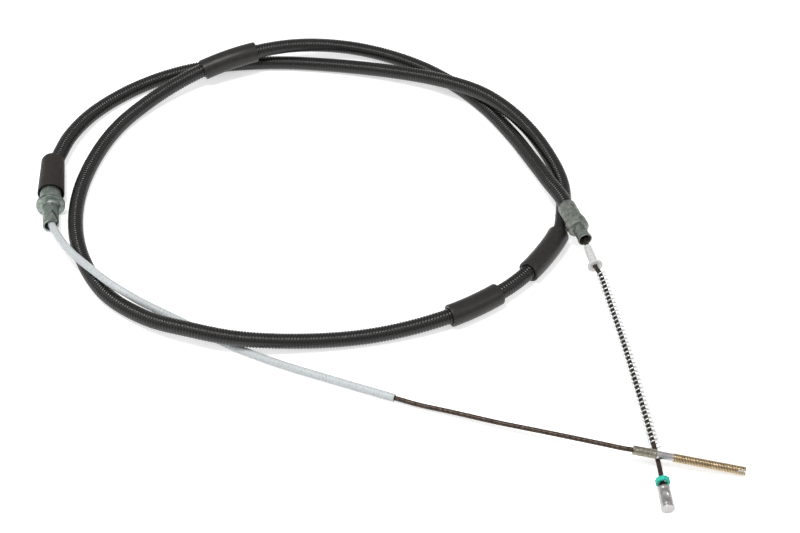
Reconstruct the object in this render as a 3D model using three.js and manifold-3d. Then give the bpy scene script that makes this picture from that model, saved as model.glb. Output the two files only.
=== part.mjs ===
// Parking brake cable: one ribbed conduit laid as a loose loop on a table, with a steel cable running through it.
// Millimetres, +Z up. The origin is on the table below the middle of the loop, and +X is the loop's right side.
// The lever end is the one with the threaded rod, the wheel end is the one with the return spring.

import * as THREE from 'three';
import { mergeVertices } from 'three/addons/utils/BufferGeometryUtils.js';
import Module from 'manifold-3d';

const wasm = await Module();
wasm.setup();

// Clearances
const FIT_GAP = 0.3; // between two pieces that touch on the real object
const TABLE_GAP = 0.05; // between the lowest pieces and the table

// Cable and the layers around it, from the inside out
const CABLE_D = 3.25;
const LINER_PLAY = 0.375; // between the cable and the liner's bore
const LINER_WALL = 0.75;
const WINDING_PLAY = 0.55; // between the liner and the steel winding
const WINDING_WALL = 1.1;
const SHEATH_WALL = 0.8;
const LINER_BORE = CABLE_D + 2 * LINER_PLAY;
const LINER_OD = LINER_BORE + 2 * LINER_WALL;
const WINDING_BORE = LINER_OD + 2 * WINDING_PLAY;
const WINDING_OD = WINDING_BORE + 2 * WINDING_WALL;
const SHEATH_BORE = WINDING_OD + 2 * FIT_GAP;
const CONDUIT_OD = SHEATH_BORE + 2 * SHEATH_WALL;
const CONDUIT_STEPS = 80;
const POCKET_PLAY = 0.45; // between the conduit and the ferrule that it is seated in

// Sleeves, slipped over the conduit at a distance from its lever end
const SLEEVE_PLAY = 0.6;
const SLEEVE_WALL = 1.85;
const SLEEVE_BORE = CONDUIT_OD + 2 * SLEEVE_PLAY;
const SLEEVE_OD = SLEEVE_BORE + 2 * SLEEVE_WALL;
const SLEEVE_LENGTH = 44;
const SHORT_SLEEVE_LENGTH = 40;
const SLEEVE_1_START = 1245;
const SLEEVE_2_START = 676.7;
const SLEEVE_3_START = 601.9;
const SLEEVES = [
  { name: 'protective_sleeve_1', start: SLEEVE_1_START, length: SLEEVE_LENGTH },
  { name: 'protective_sleeve_2', start: SLEEVE_2_START, length: SHORT_SLEEVE_LENGTH },
  { name: 'protective_sleeve_3', start: SLEEVE_3_START, length: SLEEVE_LENGTH },
];

// Lever end ferrule: lengths are measured back from the tip of its nose
const NOSE_OD = 11.6;
const NOSE_LENGTH = 21;
const NOSE_BORE = 9;
const NOSE_BORE_DEPTH = 18.4;
const LINER_LEAD_IN = 3; // how far before the nose bore's floor the liner runs straight
const NOSE_SLOT_WIDTH = 1.8;
const NOSE_SLOT_LENGTH = 12;
const NOSE_SLOT_TURN = THREE.MathUtils.degToRad(-35);
const NOSE_SLOT_SLANT = THREE.MathUtils.degToRad(28);
const NOSE_MOUTH_SLANT = THREE.MathUtils.degToRad(8);
const NOSE_FILLET = 2;
const FLANGE_OD = 20.7;
const FLANGE_THICKNESS = 2.8;
const FLANGE_GROOVE_WIDTH = 0.8;
const FLANGE_GROOVE_DEPTH = 0.7;
const COLLAR_OD = 15.3;
const COLLAR_LENGTH = 16;
const LEVER_POCKET_DEPTH = 9.5;
const LEVER_TIP = new THREE.Vector3(-227.1, 19.3, FLANGE_OD / 2 + TABLE_GAP);
const LEVER_AXIS = new THREE.Vector3(0.14, -0.99, 0).normalize();

// Boot over the conduit's lever end: its rim starts at a distance from the nose's tip, and it leans off the ferrule
const BOOT_START = 34.6;
const BOOT_OFFSET = new THREE.Vector3(0.3, 0, -0.1);
const BOOT_AXIS = new THREE.Vector3(-0.09, 0.996, 0).normalize();
const BOOT_RIM_OD = 19.5;
const BOOT_TOP_OD = 17.1;
const BOOT_LENGTH = 37.5;
const BOOT_WALL = 0.85;
const BOOT_TOP_WALL = 3.5;
const BOOT_SHOULDER = 3;

// Wheel end ferrule: lengths are measured back from its mouth
const MOUTH_OD = 10.2;
const MOUTH_LIP = 1.5;
const MOUTH_FLARE_BORE = 9;
const MOUTH_FLARE_DEPTH = 4;
const MOUTH_BORE = 7.5;
const MOUTH_BORE_DEPTH = 18;
const NECK_OD = 9.3;
const NECK_LENGTH = 11.8;
const SHOULDER_OD = 15.4;
const SHOULDER_LENGTH = 6.2;
const SHOULDER_CHAMFER = 0.5;
const RIDGES = 3;
const RIDGE_PITCH = 1.2;
const RIDGE_DEPTH = 0.4;
const RIDGE_FLANK = 0.25;
const LAST_RIDGE_OD = 13.8;
const BODY_OD = 13.1;
const BODY_LENGTH = 14.4;
const WHEEL_POCKET_DEPTH = 16.5;
const WHEEL_MOUTH = new THREE.Vector3(153.5, -3.3, 18.8);
const WHEEL_AXIS = new THREE.Vector3(0.309, -0.951, 0).normalize();

// Bush, spring, ring and nipple on the cable's wheel end
const BUSH_PLAY = 0.475;
const BUSH_TIP_OD = 4.9;
const BUSH_TUBE_OD = 6;
const BUSH_TAPER = 8;
const BUSH_LENGTH = 19.5;
const BUSH_FLANGE_OD = 10.8;
const BUSH_FLANGE_THICKNESS = 1.5;
const SPRING_OD = 8;
const SPRING_WIRE = 1;
const SPRING_TURNS = 42;
const SPRING_STEPS_PER_TURN = 8;
const SPRING_SAG = new THREE.Vector3(0.7, 0.1, -0.35); // how the spring hangs off the cable's line
const RING_OD = 9.5;
const RING_BORE = 5.4;
const RING_LENGTH = 3.2;
const RING_FLUTES = 12;
const RING_FLUTE_DEPTH = 0.45;
const RING_CENTRE = new THREE.Vector3(188.7, -207.6, RING_OD / 2 + TABLE_GAP);
const NIPPLE_OD = 8.1;
const NIPPLE_LENGTH = 16.6;
const NIPPLE_WAIST_OD = 7.4;
const NIPPLE_WAIST_START = 1.6;
const NIPPLE_WAIST_LENGTH = 2.4;
const NIPPLE_NECK_OD = 7.2;
const NIPPLE_NECK_LENGTH = 0.9;
const NIPPLE_DISC = 1.4;
const NIPPLE_DISC_OD = 8.6;
const NIPPLE_SOCKET_DEPTH = 12.4;
const NIPPLE_DENT_RADIUS = 7;
const NIPPLE_DENT_DEPTH = 0.9;
const NIPPLE_DENT_CENTRE = 9.1;
const NIPPLE_FRONT = new THREE.Vector3(188.8, -212.5, NIPPLE_DISC_OD / 2 + TABLE_GAP);
const NIPPLE_AXIS = new THREE.Vector3(1.3, -17.8, 0).normalize();

// Threaded rod on the cable's lever end
const BARREL_OD = 6.1;
const BARREL_LENGTH = 15.4;
const BARREL_SOCKET_DEPTH = 12.5;
const SHANK_OD = 5.2;
const SHANK_LENGTH = 10.4;
const THREAD_OD = 6;
const THREAD_LENGTH = 46.6;
const ROD_CHAMFER = 0.6;
const ROD_SLOT_DEPTH = 5;
const ROD_SLOT_WIDTH = 1.6;
const ROD_SLOT_TURN = THREE.MathUtils.degToRad(45); // about the rod's axis, from upright
const ROD_START = new THREE.Vector3(171.2, -187.4, 11.4);
const ROD_AXIS = new THREE.Vector3(71.1, -10.7, -8.2).normalize();
const SOCKET_PLAY = FIT_GAP; // between the cable and the bore that it is swaged into

// Joints: how far the cable is pulled, and how far its three stretches reach inside
const CABLE_TRAVEL = 10;
const LEVER_CABLE_INSIDE = 30;
const WHEEL_CABLE_INSIDE = 12;
const CORE_GAP = 1.5;

// Facets
const CONDUIT_SIDES = 10;
const TUBE_SIDES = 8;
const WIRE_SIDES = 5;
const ROUND_SIDES = 24;
const FINE_SIDES = 18;
const ARC_STEPS = 4;

// The liner's free end points along this heading, straight and level
const LINER_END = new THREE.Vector3(19.4, -136.3, LINER_OD / 2 + TABLE_GAP);
const LINER_AXIS = new THREE.Vector3(0.9336, -0.3584, 0).normalize();
const LINER_STRAIGHT = 50;
const LINER_STEPS = 20;

// The conduit's centre line from the lever end to the wheel end, chosen by hand
const CONDUIT_ROUTE = [
  [-234.2, 72, 10.4],
  [-233.7, 84, 10.1],
  [-231.5, 96.7, 9.4],
  [-225.8, 120.7, 8.5],
  [-210, 152.4, 6.2],
  [-178.8, 183, 5.5],
  [-140, 203, 5.5],
  [-90, 211.5, 5.5],
  [-35, 209, 5.7],
  [30, 192.5, 9.8],
  [67, 173.5, 15],
  [90, 156, 17.5],
  [111, 134.5, 15.5],
  [128, 111, 9.8],
  [142, 72, 5.7],
  [141, 36, 5.8],
  [136, 12.3, 8.5],
  [113.1, -24.3, 8.2],
  [90.3, -46.3, 8.2],
  [56.6, -67.4, 8.3],
  [10, -82, 6],
  [-35, -89, 7],
  [-85, -91.1, 11.4],
  [-120, -82.5, 11.4],
  [-152, -67.3, 7.2],
  [-183.5, -40.7, 5.5],
  [-207, 7, 5.5],
  [-212, 62, 5.5],
  [-196, 125, 5.5],
  [-172, 160, 7.5],
  [-138, 187.8, 13],
  [-99, 204.6, 19.3],
  [-59, 219, 17.2],
  [-17, 226, 9.5],
  [24, 215, 5.8],
  [59.6, 190, 5.5],
  [88, 158, 5.5],
  [108, 122.5, 7.2],
  [121.5, 88, 12],
  [131.5, 60, 16.5],
  [139.5, 40.5, 18.8],
];

// The bare liner's centre line from its straight free end back to the nose of the lever end ferrule
const LINER_ROUTE = [
  [-58.2, -106, 2.8],
  [-91.5, -89.7, 2.8],
  [-109.9, -78.1, 2.8],
  [-128, -66.3, 2.8],
  [-143.9, -57.6, 4.3],
  [-155.6, -53.4, 8.2],
  [-166.2, -48.9, 12.2],
  [-176.8, -42.8, 15],
  [-188.6, -31.6, 14.8],
  [-197.8, -22.4, 14.6],
  [-206.2, -13.1, 13.9],
  [-214.3, -1.9, 12.6],
  [-222.1, 11.8, 11],
  [-226.6, 21, 10.4],
];

// The bare cable from the liner's free end to the rod, and from the bush to the nipple
const LEVER_CABLE_ROUTE = [
  [36.1, -142.6, 2.9],
  [55.7, -148.8, 3.6],
  [87.9, -160, 5.4],
  [119.7, -170.3, 7.6],
  [150.9, -180.8, 9.9],
  [164.5, -185.8, 11.3],
];
const BUSH_TIP = [154.5, -9.9, 18.6];
const BUSH_END = [158.7, -28.9, 18.1];
const SPRING_ROUTE = [
  [161.6, -36.3, 17.7],
  [167.2, -64.7, 15.1],
  [173.9, -100.3, 11.8],
  [180.8, -143.2, 7.9],
  [186.05, -179, 4.65],
];
const BELOW_SPRING = [187.7, -192, 4.1];

// Vectors, curves and stations

const point = ([x, y, z]) => new THREE.Vector3(x, y, z);

const beyond = (start, axis, distance) => start.clone().addScaledVector(axis, distance);

// A path that runs straight from station to station, so that tubes inside each other share their bends
class StationPath extends THREE.Curve {
  constructor(stations) {
    super();
    this.stations = stations;
  }

  index(u) {
    return Math.round(u * (this.stations.length - 1));
  }

  getPointAt(u, target = new THREE.Vector3()) {
    return target.copy(this.stations[this.index(u)]);
  }

  getTangentAt(u, target = new THREE.Vector3()) {
    const i = this.index(u);
    const here = this.stations[i];
    target.set(0, 0, 0);
    if (i > 0) {
      target.add(here.clone().sub(this.stations[i - 1]).normalize());
    }
    if (i < this.stations.length - 1) {
      target.add(this.stations[i + 1].clone().sub(here).normalize());
    }
    return target.normalize();
  }
}

// Evenly spaced stations on a smooth curve through the points, none of them lower than the tube can lie
function smoothStations(points, steps, radius) {
  const stations = new THREE.CatmullRomCurve3(points).getSpacedPoints(steps);
  stations.forEach((station) => {
    station.z = Math.max(station.z, radius);
  });
  return stations;
}

// The part of a line of stations between two distances along it
function stretch(stations, from, to) {
  const cut = [];
  let walked = 0;
  for (let i = 1; i < stations.length; i += 1) {
    const a = stations[i - 1];
    const b = stations[i];
    const next = walked + a.distanceTo(b);
    if (from >= walked && from < next) {
      cut.push(a.clone().lerp(b, (from - walked) / (next - walked)));
    }
    if (to > walked && to <= next) {
      cut.push(a.clone().lerp(b, (to - walked) / (next - walked)));
    } else if (next > from && next < to) {
      cut.push(b.clone());
    }
    walked = next;
  }
  return cut;
}

function lineLength(stations) {
  return stations.slice(1).reduce((sum, station, i) => sum + station.distanceTo(stations[i]), 0);
}

// Solids

// A regular polygon inside or around a circle of the given diameter
function polygon(diameter, sides, around) {
  const radius = around ? diameter / 2 / Math.cos(Math.PI / sides) : diameter / 2;
  return Array.from({ length: sides }, (_, i) => {
    const angle = (2 * Math.PI * i) / sides;
    return new THREE.Vector2(radius * Math.cos(angle), radius * Math.sin(angle));
  });
}

// A rod or, with a bore, a tube along a line of stations
function sweep(stations, diameter, sides, bore = 0) {
  const section = new THREE.Shape(polygon(diameter, sides, false));
  if (bore > 0) {
    section.holes.push(new THREE.Path(polygon(bore, sides, true)));
  }
  return new THREE.ExtrudeGeometry(section, {
    steps: stations.length - 1,
    extrudePath: new StationPath(stations),
    bevelEnabled: false,
  });
}

// A turned piece from [distance along the axis, radius] pairs; the axis is local +Z
function turn(profile, sides) {
  const outline = profile.map(([along, radius]) => new THREE.Vector2(radius, along));
  const closed = outline[0].x === 0 && outline[outline.length - 1].x === 0;
  if (!closed) {
    outline.push(outline[0].clone());
  }
  return new THREE.LatheGeometry(outline, sides).rotateX(Math.PI / 2);
}

// Points of an arc in a turned outline; the angle is measured from the axis outwards
function arc(along, radius, size, from, to) {
  return Array.from({ length: ARC_STEPS + 1 }, (_, i) => {
    const angle = from + ((to - from) * i) / ARC_STEPS;
    return [along + size * Math.cos(angle), radius + size * Math.sin(angle)];
  });
}

function toSolid(geometry) {
  const bare = geometry.clone();
  bare.deleteAttribute('normal');
  bare.deleteAttribute('uv');
  const merged = mergeVertices(bare);
  return new wasm.Manifold(new wasm.Mesh({
    numProp: 3,
    vertProperties: new Float32Array(merged.attributes.position.array),
    triVerts: new Uint32Array(merged.index.array),
  }));
}

// The geometry with each of the tool geometries cut out of it
function cut(geometry, tools) {
  const solid = tools.reduce((body, tool) => body.subtract(toSolid(tool)), toSolid(geometry));
  const mesh = solid.getMesh();
  const result = new THREE.BufferGeometry();
  result.setAttribute('position', new THREE.BufferAttribute(mesh.vertProperties, mesh.numProp));
  result.setIndex(new THREE.BufferAttribute(mesh.triVerts, 1));
  return result;
}

// Materials and placing

function material(color, roughness, metalness) {
  return new THREE.MeshStandardMaterial({ color, roughness, metalness });
}

const MATERIALS = {
  sheath: material(0x2b2826, 0.45, 0),
  rubber: material(0x3e3c3a, 0.6, 0),
  bootRubber: material(0x3a3633, 0.75, 0),
  steel: material(0x6d675f, 0.45, 1),
  zinc: material(0xa9aeb0, 0.4, 1),
  dullZinc: material(0x8c918a, 0.55, 1),
  goldenZinc: material(0xb49a6a, 0.4, 1),
  brightSpring: material(0xb5b8ba, 0.3, 1),
  milky: material(0xd5d8d8, 0.35, 0),
  green: material(0x1f9a7c, 0.5, 0),
};

function piece(name, geometry, look) {
  const mesh = new THREE.Mesh(geometry, look);
  mesh.name = name;
  return mesh;
}

const turnedTo = (axis) => new THREE.Quaternion().setFromUnitVectors(new THREE.Vector3(0, 0, 1), axis);

// Puts a piece that was made along local +Z at a point, pointing along an axis
function seat(mesh, origin, axis) {
  mesh.position.copy(origin);
  mesh.quaternion.copy(turnedTo(axis));
  return mesh;
}

// Lines of stations

const LEVER_FERRULE_LENGTH = NOSE_LENGTH + FLANGE_THICKNESS + COLLAR_LENGTH;
const LEVER_SEAT = LEVER_FERRULE_LENGTH - LEVER_POCKET_DEPTH + FIT_GAP;
const WHEEL_FERRULE_LENGTH = NECK_LENGTH + SHOULDER_LENGTH + RIDGES * RIDGE_PITCH + BODY_LENGTH;
const WHEEL_SEAT = WHEEL_FERRULE_LENGTH - WHEEL_POCKET_DEPTH + FIT_GAP;

const conduitLine = smoothStations(
  [
    beyond(LEVER_TIP, LEVER_AXIS, -LEVER_SEAT),
    beyond(LEVER_TIP, LEVER_AXIS, -LEVER_FERRULE_LENGTH),
    ...CONDUIT_ROUTE.map(point),
    beyond(WHEEL_MOUTH, WHEEL_AXIS, -WHEEL_FERRULE_LENGTH),
    beyond(WHEEL_MOUTH, WHEEL_AXIS, -WHEEL_SEAT),
  ],
  CONDUIT_STEPS,
  CONDUIT_OD / 2,
);

const bareLinerLine = smoothStations(
  [
    beyond(LINER_END, LINER_AXIS, -LINER_STRAIGHT),
    ...LINER_ROUTE.map(point),
    beyond(LEVER_TIP, LEVER_AXIS, LINER_LEAD_IN - NOSE_BORE_DEPTH),
  ],
  LINER_STEPS,
  LINER_OD / 2,
);

// The liner runs from its free end through the whole conduit to the floor of the wheel ferrule's mouth
const linerLine = [
  LINER_END,
  ...bareLinerLine,
  ...conduitLine,
  beyond(WHEEL_MOUTH, WHEEL_AXIS, -MOUTH_BORE_DEPTH),
];

const leverCableLine = [
  beyond(LINER_END, LINER_AXIS, -LEVER_CABLE_INSIDE),
  beyond(LINER_END, LINER_AXIS, CABLE_D),
  ...LEVER_CABLE_ROUTE.map(point),
  ROD_START,
  beyond(ROD_START, ROD_AXIS, BARREL_SOCKET_DEPTH - FIT_GAP),
];

const wheelCableLine = [
  beyond(WHEEL_MOUTH, WHEEL_AXIS, -WHEEL_CABLE_INSIDE),
  WHEEL_MOUTH,
  point(BUSH_TIP),
  point(BUSH_END),
  ...SPRING_ROUTE.map(point),
  point(BELOW_SPRING),
  NIPPLE_FRONT,
  beyond(NIPPLE_FRONT, NIPPLE_AXIS, NIPPLE_SOCKET_DEPTH - FIT_GAP),
];

// Conduit, liner and cable

function outerConduit() {
  return piece('outer_conduit', sweep(conduitLine, CONDUIT_OD, CONDUIT_SIDES, SHEATH_BORE), MATERIALS.sheath);
}

function conduitWinding() {
  return piece('conduit_winding', sweep(conduitLine, WINDING_OD, TUBE_SIDES, WINDING_BORE), MATERIALS.steel);
}

function linerTube() {
  return piece('liner_tube', sweep(linerLine, LINER_OD, TUBE_SIDES, LINER_BORE), MATERIALS.milky);
}

function cableCore() {
  const beyondLiner = WHEEL_CABLE_INSIDE + CABLE_TRAVEL + CORE_GAP - MOUTH_BORE_DEPTH;
  const line = stretch(linerLine, LEVER_CABLE_INSIDE + CORE_GAP, lineLength(linerLine) - beyondLiner);
  return piece('inner_cable_core', sweep(line, CABLE_D, TUBE_SIDES), MATERIALS.steel);
}

function leverCable() {
  return piece('inner_cable_lever_end', sweep(leverCableLine, CABLE_D, TUBE_SIDES), MATERIALS.steel);
}

function wheelCable() {
  return piece('inner_cable_wheel_end', sweep(wheelCableLine, CABLE_D, TUBE_SIDES), MATERIALS.steel);
}

function sleeve({ name, start, length }) {
  const line = stretch(conduitLine, start, start + length);
  return piece(name, sweep(line, SLEEVE_OD, CONDUIT_SIDES, SLEEVE_BORE), MATERIALS.rubber);
}

// Lever end ferrule and boot, made along +Z from the nose's tip and turned round onto the axis

function leverFerrule() {
  const flangeFront = NOSE_LENGTH;
  const flangeBack = flangeFront + FLANGE_THICKNESS;
  const grooveStart = flangeFront + (FLANGE_THICKNESS - FLANGE_GROOVE_WIDTH) / 2;
  const grooveEnd = grooveStart + FLANGE_GROOVE_WIDTH;
  const pocketFloor = LEVER_FERRULE_LENGTH - LEVER_POCKET_DEPTH;
  const flangeRadius = FLANGE_OD / 2;
  const linerHole = LINER_OD / 2 + FIT_GAP;
  const pocket = CONDUIT_OD / 2 + POCKET_PLAY;
  const body = turn([
    [0, NOSE_OD / 2],
    ...arc(flangeFront - NOSE_FILLET, NOSE_OD / 2 + NOSE_FILLET, NOSE_FILLET, -Math.PI / 2, 0),
    [flangeFront, flangeRadius],
    [grooveStart, flangeRadius],
    [grooveStart, flangeRadius - FLANGE_GROOVE_DEPTH],
    [grooveEnd, flangeRadius - FLANGE_GROOVE_DEPTH],
    [grooveEnd, flangeRadius],
    [flangeBack, flangeRadius],
    [flangeBack, COLLAR_OD / 2],
    [LEVER_FERRULE_LENGTH, COLLAR_OD / 2],
    [LEVER_FERRULE_LENGTH, pocket],
    [pocketFloor, pocket],
    [pocketFloor, linerHole],
    [NOSE_BORE_DEPTH, linerHole],
    [NOSE_BORE_DEPTH, NOSE_BORE / 2],
    [0, NOSE_BORE / 2],
  ], ROUND_SIDES);
  const slot = new THREE.BoxGeometry(NOSE_OD, NOSE_SLOT_WIDTH, NOSE_SLOT_LENGTH);
  slot.rotateX(NOSE_SLOT_SLANT);
  slot.translate(NOSE_OD / 2 + FIT_GAP, 0, NOSE_SLOT_LENGTH / 2);
  slot.rotateZ(NOSE_SLOT_TURN);
  const mouthCut = new THREE.BoxGeometry(2 * NOSE_OD, 2 * NOSE_OD, NOSE_OD);
  mouthCut.translate(0, 0, -NOSE_OD / 2);
  mouthCut.rotateY(-NOSE_MOUTH_SLANT);
  mouthCut.translate(0, 0, (NOSE_OD / 2) * Math.tan(NOSE_MOUTH_SLANT));
  const mesh = piece('lever_end_ferrule', cut(body, [slot, mouthCut]), MATERIALS.zinc);
  return seat(mesh, LEVER_TIP, LEVER_AXIS.clone().negate());
}

// The boot is a cap with a closed top, and the conduit leaves through a hole beside the top's middle
function leverBoot() {
  const rim = BOOT_RIM_OD / 2;
  const top = BOOT_TOP_OD / 2;
  const straight = BOOT_LENGTH - BOOT_SHOULDER;
  const ceiling = BOOT_LENGTH - BOOT_TOP_WALL;
  const body = turn([
    [0, 0],
    [0, rim],
    ...arc(straight, top - BOOT_SHOULDER, BOOT_SHOULDER, Math.PI / 2, 0),
    [BOOT_LENGTH, 0],
  ], ROUND_SIDES);
  const cavity = turn([
    [-BOOT_WALL, 0],
    [-BOOT_WALL, rim - BOOT_WALL],
    [0, rim - BOOT_WALL],
    [ceiling, top - BOOT_WALL],
    [ceiling, 0],
  ], ROUND_SIDES);
  const origin = beyond(LEVER_TIP, LEVER_AXIS, -BOOT_START).add(BOOT_OFFSET);
  const passage = stretch(conduitLine, ceiling - BOOT_TOP_WALL, BOOT_LENGTH + 3 * BOOT_TOP_WALL);
  const holeOD = (CONDUIT_OD + 2 * FIT_GAP) / Math.cos(Math.PI / CONDUIT_SIDES);
  const hole = sweep(passage, holeOD, CONDUIT_SIDES);
  [body, cavity].forEach((shape) => {
    shape.applyQuaternion(turnedTo(BOOT_AXIS)).translate(...origin.toArray());
  });
  return piece('lever_end_boot', cut(body, [cavity, hole]), MATERIALS.bootRubber);
}

// Wheel end ferrule, made along +Z from its mouth

function wheelFerrule() {
  const shoulder = SHOULDER_OD / 2;
  const shoulderEnd = NECK_LENGTH + SHOULDER_LENGTH;
  const ridgesEnd = shoulderEnd + RIDGES * RIDGE_PITCH;
  const pocket = CONDUIT_OD / 2 + POCKET_PLAY;
  const pocketFloor = WHEEL_FERRULE_LENGTH - WHEEL_POCKET_DEPTH;
  const ridges = Array.from({ length: RIDGES }, (_, i) => {
    const start = shoulderEnd + RIDGE_PITCH * i;
    const crown = shoulder + ((LAST_RIDGE_OD / 2 - shoulder) * (i + 1)) / RIDGES;
    return [
      [start + RIDGE_FLANK, crown - RIDGE_DEPTH],
      [start + 2 * RIDGE_FLANK, crown],
      [start + RIDGE_PITCH - RIDGE_FLANK, crown],
      [start + RIDGE_PITCH, crown - RIDGE_DEPTH],
    ];
  }).flat();
  const body = turn([
    [0, MOUTH_OD / 2],
    [MOUTH_LIP, MOUTH_OD / 2],
    [MOUTH_LIP + (MOUTH_OD - NECK_OD) / 2, NECK_OD / 2],
    [NECK_LENGTH, NECK_OD / 2],
    [NECK_LENGTH, shoulder - SHOULDER_CHAMFER],
    [NECK_LENGTH + SHOULDER_CHAMFER, shoulder],
    [shoulderEnd, shoulder],
    ...ridges,
    [ridgesEnd, BODY_OD / 2],
    [WHEEL_FERRULE_LENGTH, BODY_OD / 2],
    [WHEEL_FERRULE_LENGTH, pocket],
    [pocketFloor, pocket],
    [pocketFloor, LINER_OD / 2 + FIT_GAP],
    [MOUTH_BORE_DEPTH, LINER_OD / 2 + FIT_GAP],
    [MOUTH_BORE_DEPTH, MOUTH_BORE / 2],
    [MOUTH_FLARE_DEPTH, MOUTH_BORE / 2],
    [0, MOUTH_FLARE_BORE / 2],
  ], ROUND_SIDES);
  return seat(piece('wheel_end_ferrule', body, MATERIALS.dullZinc), WHEEL_MOUTH, WHEEL_AXIS.clone().negate());
}

// Pieces on the cable's wheel end

function guideBush() {
  const bore = CABLE_D / 2 + BUSH_PLAY;
  const flangeFront = BUSH_LENGTH - BUSH_FLANGE_THICKNESS;
  const body = turn([
    [0, BUSH_TIP_OD / 2],
    [BUSH_TAPER, BUSH_TUBE_OD / 2],
    [flangeFront, BUSH_TUBE_OD / 2],
    [flangeFront, BUSH_FLANGE_OD / 2],
    [BUSH_LENGTH, BUSH_FLANGE_OD / 2],
    [BUSH_LENGTH, bore],
    [0, bore],
  ], FINE_SIDES);
  const tip = point(BUSH_TIP);
  const axis = point(BUSH_END).sub(tip).normalize();
  return seat(piece('spring_guide_bush', body, MATERIALS.milky), tip, axis);
}

// The wire winds round the cable's line, moved by the spring's sag
function returnSpring() {
  const middle = new THREE.CatmullRomCurve3(SPRING_ROUTE.map((p) => point(p).add(SPRING_SAG)));
  const radius = (SPRING_OD - SPRING_WIRE) / 2;
  const steps = SPRING_TURNS * SPRING_STEPS_PER_TURN;
  const wire = Array.from({ length: steps + 1 }, (_, i) => {
    const angle = (2 * Math.PI * i) / SPRING_STEPS_PER_TURN;
    const along = middle.getTangentAt(i / steps);
    const side = new THREE.Vector3(0, 0, 1).cross(along).normalize();
    const up = along.clone().cross(side);
    return middle.getPointAt(i / steps)
      .addScaledVector(side, radius * Math.cos(angle))
      .addScaledVector(up, radius * Math.sin(angle));
  });
  return piece('return_spring', sweep(wire, SPRING_WIRE, WIRE_SIDES), MATERIALS.brightSpring);
}

function springSeatRing() {
  const pointsPerFlute = 4;
  const count = RING_FLUTES * pointsPerFlute;
  const outline = Array.from({ length: count }, (_, i) => {
    const angle = (2 * Math.PI * i) / count;
    const radius = RING_OD / 2 - (RING_FLUTE_DEPTH / 2) * (1 - Math.cos(RING_FLUTES * angle));
    return new THREE.Vector2(radius * Math.cos(angle), radius * Math.sin(angle));
  });
  const section = new THREE.Shape(outline);
  section.holes.push(new THREE.Path(polygon(RING_BORE, FINE_SIDES, true)));
  const body = new THREE.ExtrudeGeometry(section, { depth: RING_LENGTH, bevelEnabled: false });
  body.translate(0, 0, -RING_LENGTH / 2);
  return seat(piece('spring_seat_ring', body, MATERIALS.green), RING_CENTRE, NIPPLE_AXIS);
}

function cableNipple() {
  const socket = CABLE_D / 2 + SOCKET_PLAY;
  const waistEnd = NIPPLE_WAIST_START + NIPPLE_WAIST_LENGTH;
  const discStart = NIPPLE_LENGTH - NIPPLE_DISC;
  const neckStart = discStart - NIPPLE_NECK_LENGTH;
  const body = turn([
    [0, NIPPLE_OD / 2],
    [NIPPLE_WAIST_START, NIPPLE_OD / 2],
    [NIPPLE_WAIST_START, NIPPLE_WAIST_OD / 2],
    [waistEnd, NIPPLE_WAIST_OD / 2],
    [waistEnd, NIPPLE_OD / 2],
    [neckStart, NIPPLE_OD / 2],
    [neckStart, NIPPLE_NECK_OD / 2],
    [discStart, NIPPLE_NECK_OD / 2],
    [discStart, NIPPLE_DISC_OD / 2],
    [NIPPLE_LENGTH, NIPPLE_DISC_OD / 2],
    [NIPPLE_LENGTH, 0],
    [NIPPLE_SOCKET_DEPTH, 0],
    [NIPPLE_SOCKET_DEPTH, socket],
    [0, socket],
  ], FINE_SIDES);
  const dent = new THREE.SphereGeometry(NIPPLE_DENT_RADIUS, ROUND_SIDES, FINE_SIDES);
  dent.translate(0, NIPPLE_OD / 2 + NIPPLE_DENT_RADIUS - NIPPLE_DENT_DEPTH, NIPPLE_DENT_CENTRE);
  const mesh = piece('cable_nipple', cut(body, [dent]), MATERIALS.zinc);
  return seat(mesh, NIPPLE_FRONT, NIPPLE_AXIS);
}

// Threaded rod, made along +Z from the mouth of its crimp barrel

function threadedRod() {
  const socket = CABLE_D / 2 + SOCKET_PLAY;
  const threadStart = BARREL_LENGTH + SHANK_LENGTH;
  const tip = threadStart + THREAD_LENGTH;
  const body = turn([
    [0, BARREL_OD / 2],
    [BARREL_LENGTH - ROD_CHAMFER, BARREL_OD / 2],
    [BARREL_LENGTH, SHANK_OD / 2],
    [threadStart - ROD_CHAMFER, SHANK_OD / 2],
    [threadStart, THREAD_OD / 2],
    [tip - ROD_CHAMFER, THREAD_OD / 2],
    [tip, THREAD_OD / 2 - ROD_CHAMFER],
    [tip, 0],
    [BARREL_SOCKET_DEPTH, 0],
    [BARREL_SOCKET_DEPTH, socket],
    [0, socket],
  ], FINE_SIDES);
  const slot = new THREE.BoxGeometry(2 * THREAD_OD, ROD_SLOT_WIDTH, 2 * ROD_SLOT_DEPTH);
  slot.rotateZ(ROD_SLOT_TURN);
  slot.translate(0, 0, tip);
  const mesh = piece('threaded_rod', cut(body, [slot]), MATERIALS.goldenZinc);
  return seat(mesh, ROD_START, ROD_AXIS);
}

const brakeCable = new THREE.Group();
brakeCable.add(outerConduit(), conduitWinding(), linerTube(), cableCore());
brakeCable.add(leverCable(), wheelCable(), threadedRod());
brakeCable.add(leverFerrule(), leverBoot(), wheelFerrule());
brakeCable.add(...SLEEVES.map(sleeve));
brakeCable.add(guideBush(), returnSpring(), springSeatRing(), cableNipple());

export default brakeCable;
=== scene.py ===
# Parking brake cable: the looks of every piece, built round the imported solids. Metres, +Z up.
import math
import bmesh
import bpy
import numpy as np
from mathutils import Matrix, Vector


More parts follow.
